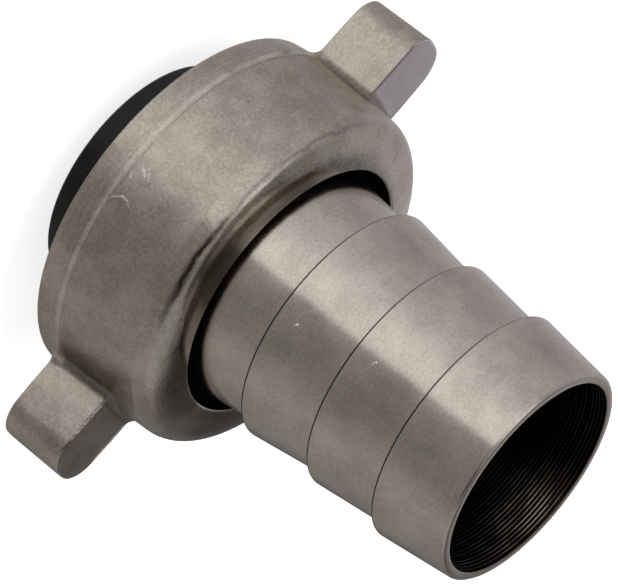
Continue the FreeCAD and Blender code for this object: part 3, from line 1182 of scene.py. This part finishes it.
@dataclass
class WingNut:
    """The cast union nut: a round body with two lugs, and a thread inside."""

    rim_height: float
    top_height: float
    band_radius: float
    lug_reach: float
    hole_radius: float = 17.73 * MM
    back_wall: float = 3.65 * MM
    thread_root: float = 20.955 * MM
    thread_crest: float = 19.48 * MM
    thread_pitch: float = 25.4 / 11 * MM
    lead_in: float = 0.7 * MM
    rim_taper: float = 0.45 * MM
    band_height: float = 4.42 * MM
    band_round: float = 1.4 * MM
    band_turn: float = math.radians(36)
    body_draft: float = 0.81 * MM
    shoulder_drop: float = 3.45 * MM
    shoulder_round: float = 2.8 * MM
    dome_radius: float = 14.0 * MM
    edge_round: float = 0.35 * MM
    hole_bevel: float = 0.15 * MM
    hole_bevel_drop: float = 0.01 * MM
    hole_round: float = 0.05 * MM
    seat_round: float = 0.1 * MM
    lead_in_round: float = 0.15 * MM
    lug_rise: float = 2.85 * MM
    lug_height: float = 9.15 * MM
    lug_root_width: float = 9.5 * MM
    lug_tip_width: float = 8.5 * MM
    lug_tip_round: float = 3.6 * MM
    lug_crown: float = 0.16 * MM
    lug_edge_round: float = 0.32 * MM
    lug_fillet: float = 1.2 * MM
    lug_fillet_clearance: float = 0.6 * MM
    lug_sink: float = 0.8 * MM

    @classmethod
    def from_frame(cls) -> WingNut:
        """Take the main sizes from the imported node."""
        low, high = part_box("wing_nut")
        return cls(rim_height=low.z, top_height=high.z, band_radius=high.y, lug_reach=high.x)

    def band(self) -> list[Corner]:
        """Draw the band beside the rim, and the turn of its edge down to the body.

        Returns:
            Its corners, from the rim up.
        """
        lean = math.atan(self.rim_taper / self.band_height)
        centre = (self.band_radius - self.band_round,
                  self.rim_height + self.band_height - self.band_round * math.sin(self.band_turn))
        turning = arc(centre, self.band_round, -lean, self.band_turn, BAND_STEPS)
        rim = Corner(self.band_radius - self.rim_taper, self.rim_height, self.edge_round)
        return [rim, *turning]

    @property
    def seat(self) -> float:
        """Height of the back wall's inner face."""
        return self.top_height - self.back_wall

    @property
    def lug_middle(self) -> float:
        """Height of the lugs' middle."""
        return self.rim_height + self.lug_rise + self.lug_height / 2

    @property
    def shoulder_height(self) -> float:
        """Height where the shoulder begins to turn."""
        return self.top_height - self.shoulder_drop

    def body_radius(self, height: np.ndarray) -> np.ndarray:
        """Outside radius of the round body at heights below its shoulder.

        Args:
            height: the heights.

        Returns:
            The radii.
        """
        band = self.band()
        heights = [corner.up for corner in band] + [self.shoulder_height]
        radii = [corner.across for corner in band] + [self.band_radius - self.body_draft]
        return np.interp(height, heights, radii)

    def on_body(self, bearing: float, height: float) -> Place:
        """Find a point of the round body.

        Args:
            bearing: the bearing in degrees.
            height: the height in millimetres.

        Returns:
            The point.
        """
        turn, up = math.radians(bearing), height * MM
        radius = float(self.body_radius(np.array(up)))
        return (radius * math.cos(turn), radius * math.sin(turn), up)

    def shoulder(self) -> list[Corner]:
        """Draw the shoulder's turn and the domed back face, up to the hole.

        Returns:
            Their corners, from the shoulder in.
        """
        foot = self.band()[-1]
        narrowing = foot.across - self.band_radius + self.body_draft
        lean = math.atan(narrowing / (self.shoulder_height - foot.up))
        turn = (self.band_radius - self.body_draft - self.shoulder_round * math.cos(lean),
                self.shoulder_height - self.shoulder_round * math.sin(lean))
        inwards, upwards = turn[0] - self.hole_radius, self.top_height - turn[1]
        to_hole = math.hypot(inwards, upwards)
        offset = self.dome_radius - self.shoulder_round
        cosine = (to_hole ** 2 + offset ** 2 - self.dome_radius ** 2) / (2 * to_hole * offset)
        to_dome = math.acos(cosine) - math.atan2(upwards, inwards)
        dome = (turn[0] - offset * math.cos(to_dome), turn[1] - offset * math.sin(to_dome))
        to_edge = math.atan2(self.top_height - dome[1], self.hole_radius - dome[0])
        turning = arc(turn, self.shoulder_round, lean, to_dome, SHOULDER_STEPS)
        return turning + arc(dome, self.dome_radius, to_dome, to_edge, DOME_STEPS)[1:-1]

    def outline(self) -> np.ndarray:
        """Draw the closed outline of the round body, its bore left smooth at the thread's root.

        Returns:
            Its points, one row each.
        """
        edge = self.top_height - self.hole_bevel_drop
        return rounded_outline([
            Corner(self.thread_root + self.lead_in, self.rim_height, self.lead_in_round),
            *self.band(),
            *self.shoulder(),
            Corner(self.hole_radius + self.hole_bevel, edge, self.hole_round),
            Corner(self.hole_radius, self.top_height - self.hole_bevel, self.hole_round),
            Corner(self.hole_radius, self.seat, self.seat_round),
            Corner(self.thread_root, self.seat),
            Corner(self.thread_root, self.rim_height + self.lead_in),
        ])

    def lug_section(self, half_width: float, half_height: float, corner: float) -> np.ndarray:
        """Points round a lug's section, as distances to the side and up from its middle.

        Args:
            half_width: half the section's width.
            half_height: half its height.
            corner: the radius of its corners.

        Returns:
            The points, the same number for every section.
        """
        inner = np.array([half_width - corner, half_height - corner])
        sides = ((1, -1), (1, 1), (-1, 1), (-1, -1))
        points: list[np.ndarray] = []
        for quarter, side in enumerate(sides):
            for step in range(LUG_CORNER_STEPS + 1):
                angle = (quarter - 1 + step / LUG_CORNER_STEPS) * math.pi / 2
                out = corner * np.array([math.cos(angle), math.sin(angle)])
                points.append(inner * side + out)
            last, ahead = points[-1], inner * sides[(quarter + 1) % 4] + out
            for step in range(1, LUG_FLAT_STEPS):
                points.append(last + (ahead - last) * step / LUG_FLAT_STEPS)
        return np.array(points)

    def lug(self, name: str, side: int) -> bpy.types.Object:
        """One lug with the fillet at its root.

        Args:
            name: the name of the object.
            side: 1 for the lug along +X, -1 for the other.

        Returns:
            The closed lug, whose inner end lies in the body's wall.
        """
        rows = [self.root_row(-self.lug_sink, self.lug_fillet)]
        turns = np.linspace(0, math.pi / 2, LUG_TURN_STEPS + 1).tolist()
        for angle in turns:
            rows.append(self.root_row(self.lug_fillet * (1 - math.cos(angle)),
                                      self.lug_fillet * (1 - math.sin(angle))))
        straight = self.lug_reach - self.lug_tip_round
        start = self.band_radius + self.lug_fillet + self.lug_fillet_clearance
        for reach in np.linspace(start, straight, LUG_STRAIGHT_ROWS).tolist():
            rows.append(self.tip_row(reach, 0.0))
        for angle in turns[1:]:
            reach = straight + self.lug_tip_round * math.sin(angle)
            rows.append(self.tip_row(reach, self.lug_tip_round * (1 - math.cos(angle))))
        points = np.array(rows)
        points[:, :, 0] *= side
        count, columns = points.shape[:2]
        faces = ring_faces(count, columns, closed=False)
        faces += [tuple(range(columns)), tuple(range((count - 1) * columns, count * columns))]
        return shell(name, points.reshape(-1, 3), faces)

    def half_width(self, reach: float) -> float:
        """Find half a lug's width, crowned between root and tip.

        Args:
            reach: distance from the axis.

        Returns:
            Half the width there.
        """
        along = (reach - self.band_radius) / (self.lug_reach - self.band_radius)
        crown = 4 * self.lug_crown * along * (1 - along) if along > 0 else 0.0
        width = self.lug_root_width + (self.lug_tip_width - self.lug_root_width) * along
        return width / 2 + crown

    def root_row(self, away: float, flare: float) -> np.ndarray:
        """Points round a lug at one distance from the body's surface.

        Args:
            away: distance out from the body's surface.
            flare: how much the fillet widens the section there.

        Returns:
            The points in space.
        """
        width = self.half_width(self.band_radius + max(away, 0.0)) + flare
        section = self.lug_section(width, self.lug_height / 2 + flare, self.lug_edge_round + flare)
        up = section[:, 1] + self.lug_middle
        radius = self.body_radius(up) + away
        return np.stack([np.sqrt(radius ** 2 - section[:, 0] ** 2), section[:, 0], up], axis=1)

    def tip_row(self, reach: float, inset: float) -> np.ndarray:
        """Points round a lug at one distance from the axis.

        Args:
            reach: distance from the axis.
            inset: how much the rounded tip narrows the section there.

        Returns:
            The points in space.
        """
        left = max(reach - (self.lug_reach - self.lug_edge_round), 0.0)
        easing = self.lug_edge_round - math.sqrt(max(self.lug_edge_round ** 2 - left ** 2, 0.0))
        section = self.lug_section(self.half_width(reach) - inset, self.lug_height / 2 - easing,
                                   self.lug_edge_round)
        across, up = section.T
        return np.stack([np.full(len(section), reach), across, up + self.lug_middle], axis=1)

    def build(self) -> None:
        """Build the nut and its thread, and dress them."""
        band_edge = self.band()[-1].up
        edges = LugEdges(
            middle=self.lug_middle, half_width=self.half_width(self.lug_reach),
            half_height=self.lug_height / 2, body_radius=self.band_radius, band_edge=band_edge)
        # Bearing in degrees and height in millimetres of both ends, and the width in millimetres.
        scratches = tuple(
            Scratch(self.on_body(*start), self.on_body(*end), width * MM)
            for start, end, width in (
                ((97.8, 11.9), (99.2, 12.4), 0.17), ((94.9, 12.9), (96.3, 13.7), 0.24),
                ((94.3, 13.6), (97.0, 14.5), 0.20), ((106.4, 11.9), (104.6, 12.8), 0.15),
                ((104.6, 12.8), (104.7, 13.7), 0.20), ((104.7, 13.7), (105.6, 14.4), 0.13),
            ))
        finish = CastMetal(shoulder=self.shoulder_height, hole=self.hole_radius,
                           band_edge=band_edge, lugs=edges, scratches=scratches)
        # Painted shade: darkened metal on the thread and the seat, near-black metal on the hole's
        # wall.
        inside_finish = CastMetal(name="inside_metal", light=(0.150, 0.128, 0.108),
                                  dark=(0.070, 0.058, 0.048), roughness=0.42)
        hole_finish = CastMetal(name="hole_metal", light=(0.034, 0.028, 0.024),
                                dark=(0.014, 0.011, 0.010), roughness=0.42)
        body = turned("nut_body", self.outline())
        nut = join("nut_skin", [body, self.lug("lug_right", 1), self.lug("lug_left", -1)])
        inside = inside_finish.material()
        for material in (finish.material(), inside, hole_finish.material()):
            nut.data.materials.append(material)
        for face in nut.data.polygons:
            away, up = math.hypot(face.center.x, face.center.y), face.center.z
            if away < self.hole_radius + WALL_SLACK and up < self.top_height - self.hole_bevel:
                face.material_index = Skin.SHADED.value
            elif away < self.thread_root + WALL_SLACK and up < self.seat + WALL_SLACK:
                face.material_index = Skin.INSIDE.value
        hand_over(nut, Body.NUT, Slot.CAST, ["wing_nut"])
        hand_over(self.thread(inside), Body.NUT, Slot.CAST)

    def thread(self, material: bpy.types.Material) -> bpy.types.Object:
        """The right-hand thread inside the nut, from its lead-in bevel to the back wall.

        Args:
            material: the nut's material.

        Returns:
            The ridge as one mesh, its foot sunk in the wall.
        """
        start = self.rim_height + self.lead_in
        length = self.seat - start - self.thread_pitch
        pattern = PatternTree("nut_thread", {
            "Root Radius": self.thread_root, "Ridge Depth": self.thread_root - self.thread_crest,
            "Turns": length / self.thread_pitch, "Length": length,
            "First Height": start + self.thread_pitch / 4,
            "Foot Width": 0.92 * self.thread_pitch, "Crest Width": 0.16 * self.thread_pitch,
            "Foot Depth": 0.2 * MM, "Run Out": 0.35, "Steps": 96,
        })
        graph, value = pattern.graph, pattern.value
        spiral = graph.node("GeometryNodeCurveSpiral", None, {
            "Resolution": value("Steps"), "Rotations": value("Turns"), "Height": value("Length"),
            "Start Radius": value("Root Radius"), "End Radius": value("Root Radius"),
            "Reverse": True})
        level = graph.node("GeometryNodeSetCurveNormal", {"mode": "Z_UP"}, {"Curve": spiral})
        along = graph.node("GeometryNodeSplineParameter", output="Factor")
        from_end = along.at_most(1.0 - along) * value("Turns") / value("Run Out")
        tapered = graph.node("GeometryNodeSetCurveRadius", None,
                             {"Curve": level, "Radius": from_end.at_most(1.0).at_least(0.02)})
        swept = graph.node("GeometryNodeCurveToMesh", None, {
            "Curve": tapered, "Profile Curve": pattern.inward_ridge(), "Fill Caps": True})
        lifted = graph.node("GeometryNodeTransform", None, {
            "Geometry": swept, "Translation": graph.place(Z=value("First Height"))})
        return pattern.finished(lifted, material)


# The seal


@dataclass
class ConeSeal:
    """The moulded rubber seal: a tapered sleeve on the nose, with a lip over the nose's end."""

    top_height: float
    base_radius: float
    tip_radius: float = 16.25 * MM
    nose_radius: float = 15.2 * MM
    lip_radius: float = 14.1 * MM
    lip_height: float = 4.0 * MM
    tip_round: float = 1.0 * MM
    lip_round: float = 0.2 * MM
    base_round: float = 0.1 * MM

    @classmethod
    def from_frame(cls) -> ConeSeal:
        """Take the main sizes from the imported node."""
        _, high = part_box("cone_seal")
        return cls(top_height=high.z, base_radius=high.x)

    def outline(self) -> np.ndarray:
        """Draw the closed outline that is turned.

        Returns:
            Its points, one row each.
        """
        return rounded_outline([
            Corner(self.lip_radius, 0.0, self.lip_round),
            Corner(self.tip_radius, 0.0, self.tip_round),
            Corner(self.base_radius, self.top_height, self.base_round),
            Corner(self.nose_radius, self.top_height),
            Corner(self.nose_radius, self.lip_height),
            Corner(self.lip_radius, self.lip_height),
        ])

    def build(self) -> None:
        """Build the seal and dress it."""
        seal = turned("seal_skin", self.outline())
        seal.data.materials.append(MouldedRubber().material())
        hand_over(seal, Body.TAIL, Slot.RUBBER, ["cone_seal"])


# The studio


class Tint(Enum):
    """The tints of the tent's panels."""

    PLAIN = (1.0, 1.0, 1.0)
    WARM = (1.05, 1.0, 1.0)
    ROSE = (1.04, 1.0, 1.06)


def heading(bearing: float, height: float) -> Place:
    """The unit vector at a bearing from +X and a height over the floor, both in radians."""
    level = math.cos(height)
    return (level * math.cos(bearing), level * math.sin(bearing), math.sin(height))


@dataclass(frozen=True)
class Flag:
    """A soft-edged card in the tent: its direction and reach in degrees, and its brightness."""

    bearing: float
    height: float
    reach: float
    level: float

    @property
    def direction(self) -> Place:
        """The unit vector towards the card's middle."""
        return heading(math.radians(self.bearing), math.radians(self.height))


@dataclass(frozen=True)
class SoftBox:
    """A square lamp that faces the origin: its name, its place, its size and its power."""

    name: str
    place: Place
    size: float
    power: float


@dataclass(frozen=True)
class Studio:
    """A pale floor, soft light, a tent of grey cards that the metal reflects, and the camera."""

    aim: Place = (1.275 * MM, 0.152 * MM, 28.499 * MM)
    distance: float = 488.818 * MM
    azimuth: float = math.radians(96.795)
    elevation: float = math.radians(24.62)
    roll: float = math.radians(128.07)
    focal_length: float = 233.01
    sensor: float = 36.0
    clip: tuple[float, float] = (0.01, 20.0)
    floor_size: float = 6.0
    floor_colour: float = 0.62
    white_lift: float = 0.74
    room_level: float = 0.55
    soft_boxes: tuple[SoftBox, ...] = (
        SoftBox("key_box", (0.55, 0.75, 1.1), 0.7, 9.0),
        SoftBox("fill_box", (-0.9, 0.5, 0.8), 0.9, 4.0),
    )
    tent_radius: float = 1.2
    # Bearing in degrees from +X, how bright the tent is there, and its tint.
    tent_panels: tuple[tuple[float, float, Tint], ...] = (
        (-90.0, 0.05, Tint.WARM), (-87.2, 0.25, Tint.WARM), (-84.5, 0.38, Tint.ROSE),
        (-80.0, 0.54, Tint.ROSE), (-68.0, 0.48, Tint.ROSE), (-50.0, 0.46, Tint.ROSE),
        (-15.0, 0.39, Tint.ROSE), (15.0, 0.50, Tint.ROSE), (40.0, 0.64, Tint.PLAIN),
        (62.0, 0.88, Tint.PLAIN), (75.0, 0.99, Tint.PLAIN), (92.5, 0.99, Tint.PLAIN),
        (95.0, 0.39, Tint.WARM), (106.0, 0.30, Tint.WARM), (130.0, 0.245, Tint.WARM),
        (150.0, 0.265, Tint.WARM), (180.0, 0.39, Tint.WARM), (210.0, 0.32, Tint.WARM),
        (240.0, 0.25, Tint.WARM), (260.0, 0.13, Tint.WARM),
    )
    flags: tuple[Flag, ...] = (
        Flag(34.0, 78.0, 20.0, 1.00), Flag(137.0, 61.0, 33.0, 0.11), Flag(-70.5, 71.5, 35.0, 0.24),
        Flag(-90.0, 41.0, 23.0, 0.05), Flag(99.5, 79.5, 16.0, 0.43), Flag(33.0, 68.0, 20.0, 0.95),
        Flag(-140.0, 51.0, 29.5, 0.42),
    )
    flag_core: float = 0.4

    def build(self) -> None:
        """Build the studio and set its camera."""
        self.camera()
        self.floor()
        self.world()
        self.lamps()
        self.tent()
        bpy.context.scene.view_settings.view_transform = "Standard"

    def camera(self) -> None:
        """Place the camera where the photograph was taken from."""
        back = Vector(heading(self.azimuth, self.elevation))
        level_right = Vector((0, 0, 1)).cross(back).normalized()
        level_up = back.cross(level_right)
        right = math.cos(self.roll) * level_right + math.sin(self.roll) * level_up
        up = back.cross(right)
        lens = bpy.data.cameras.new("camera")
        lens.lens, lens.sensor_width = self.focal_length, self.sensor
        lens.clip_start, lens.clip_end = self.clip
        made = placed("camera", lens)
        made.matrix_world = Matrix.Translation(Vector(self.aim) + self.distance * back) @ Matrix(
            (right, up, back)).transposed().to_4x4()
        bpy.context.scene.camera = made

    def seen_directly(self, graph: Graph) -> Wire:
        """Find the rays that show the background itself, also in metal and through glass.

        Args:
            graph: the material's or the world's nodes.

        Returns:
            A value that is 1 for them and 0 for others.
        """
        path = graph.node("ShaderNodeLightPath", output="Is Camera Ray")
        seen = path + path.output("Is Glossy Ray") + path.output("Is Transmission Ray")
        return seen.at_most(1.0)

    def floor(self) -> None:
        """A plain pale floor that keeps the shadow."""
        half = self.floor_size / 2
        corners = [(-half, -half, 0), (half, -half, 0), (half, half, 0), (-half, half, 0)]
        made = shell("floor", np.array(corners), [(0, 1, 2, 3)])
        material, graph = new_material("floor_paint")
        paint = graph.node("ShaderNodeBsdfDiffuse", None, {"Color": (*grey(self.floor_colour), 1)})
        lift = graph.node("ShaderNodeEmission", None,
                          {"Strength": self.seen_directly(graph) * self.white_lift})
        surface = graph.node("ShaderNodeAddShader", None, {0: paint, 1: lift})
        graph.node("ShaderNodeOutputMaterial", None, {"Surface": surface})
        made.data.materials.append(material)
        made.visible_glossy = False

    def world(self) -> None:
        """A white room, which lights the object softly."""
        world = bpy.data.worlds.new("room")
        world.use_nodes = True
        graph = Graph(world.node_tree)
        level = self.seen_directly(graph) * (1.0 - self.room_level) + self.room_level
        light = graph.node("ShaderNodeBackground", None, {"Color": (1, 1, 1, 1), "Strength": level})
        graph.node("ShaderNodeOutputWorld", None, {"Surface": light})
        bpy.context.scene.world = world

    def lamps(self) -> None:
        """Two soft boxes, above and beside the object."""
        for box in self.soft_boxes:
            lamp = bpy.data.lights.new(box.name, "AREA")
            lamp.shape, lamp.size, lamp.energy = "SQUARE", box.size, box.power
            made = placed(box.name, lamp)
            facing = Vector(box.place).to_track_quat("Z", "Y").to_matrix().to_4x4()
            made.matrix_world = Matrix.Translation(box.place) @ facing
            made.visible_glossy = False

    def tent(self) -> None:
        """A ball of grey cards round the object, which only its reflections see."""
        work = bmesh.new()
        bmesh.ops.create_uvsphere(work, u_segments=64, v_segments=32, radius=self.tent_radius)
        mesh = bpy.data.meshes.new("tent")
        work.to_mesh(mesh)
        work.free()
        made = placed("tent", mesh)
        material, graph = new_material("tent_cloth")
        place = graph.node("ShaderNodeTexCoord", output="Object")
        direction = graph.vector("NORMALIZE", place)
        parts = graph.node("ShaderNodeSeparateXYZ", None, {"Vector": direction})
        bearing = graph.math("ARCTAN2", parts.output("Y"), parts.output("X")) * (180 / math.pi)
        first = self.tent_panels[0][0]
        turn = graph.math("FLOORED_MODULO", bearing - first, 360.0) / 360.0
        stops = [((degrees - first) / 360.0, tuple(level * share for share in tint.value))
                 for degrees, level, tint in self.tent_panels]
        paint = graph.node("ShaderNodeValToRGB", {"stops": stops}, {"Fac": turn})
        for flag in self.flags:
            nearness = graph.vector("DOT_PRODUCT", direction, flag.direction).output("Value")
            mask = graph.span(nearness, math.cos(math.radians(flag.reach)),
                              math.cos(math.radians(self.flag_core * flag.reach)))
            paint = graph.blend(mask, paint, grey(flag.level))
        light = graph.node("ShaderNodeEmission", None, {"Color": paint})
        graph.node("ShaderNodeOutputMaterial", None, {"Surface": light})
        made.data.materials.append(material)
        for name in ("camera", "diffuse", "transmission", "volume_scatter", "shadow"):
            setattr(made, f"visible_{name}", False)


def main() -> None:
    """Build the fitting and its studio."""
    logging.basicConfig(level=logging.INFO, format="%(message)s")
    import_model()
    seal = ConeSeal.from_frame()
    tail = HoseTail.from_frame(seal.top_height)
    nut = WingNut.from_frame()
    for part in (tail, nut, seal):
        part.build()
    Studio().build()


if __name__ == "__main__":
    main()
